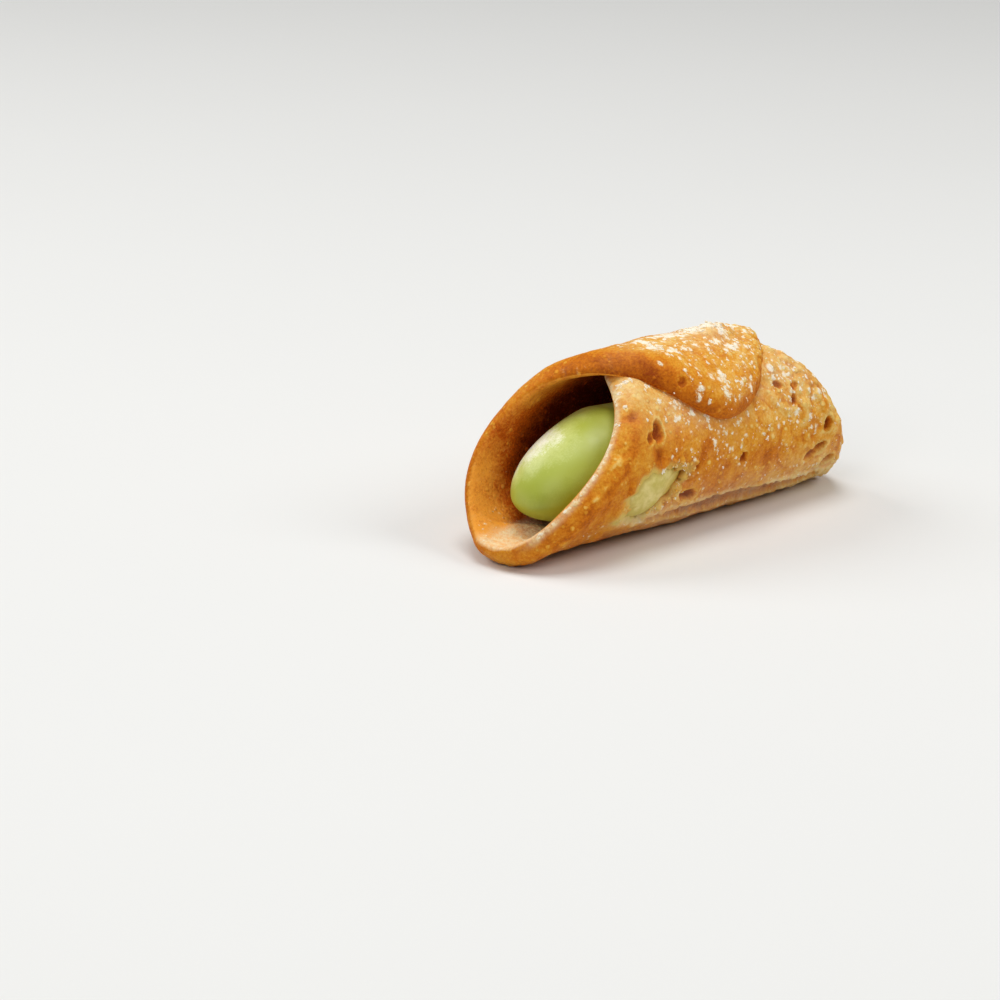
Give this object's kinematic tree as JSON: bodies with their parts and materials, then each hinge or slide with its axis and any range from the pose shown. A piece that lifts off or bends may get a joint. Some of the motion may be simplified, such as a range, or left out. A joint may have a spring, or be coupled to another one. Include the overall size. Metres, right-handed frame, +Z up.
{
  "type": "cannolo",
  "caption": "Filled cannolo: an oval sheet of fried dough wrapped into a tube with slanted scoop ends and a lapped flap, dusted with icing sugar, around smooth pistachio cream.",
  "frame": {"origin": "middle of the bounding box, at its bottom, where the keel of the tube rests", "axes": "+X along the tube from the near scoop to the far one, +Y towards the back, so the flap's tongue and the tear face -Y, and +Z up"},
  "size_m": [0.0974, 0.0372, 0.0407],
  "materials": {
    "crust": "matte, fried dough dusted with sugar",
    "cream": "smooth, softly glossy"
  },
  "bodies": {
    "root": {"shell": "crust", "filling": "cream"}
  },
  "joints": []
}
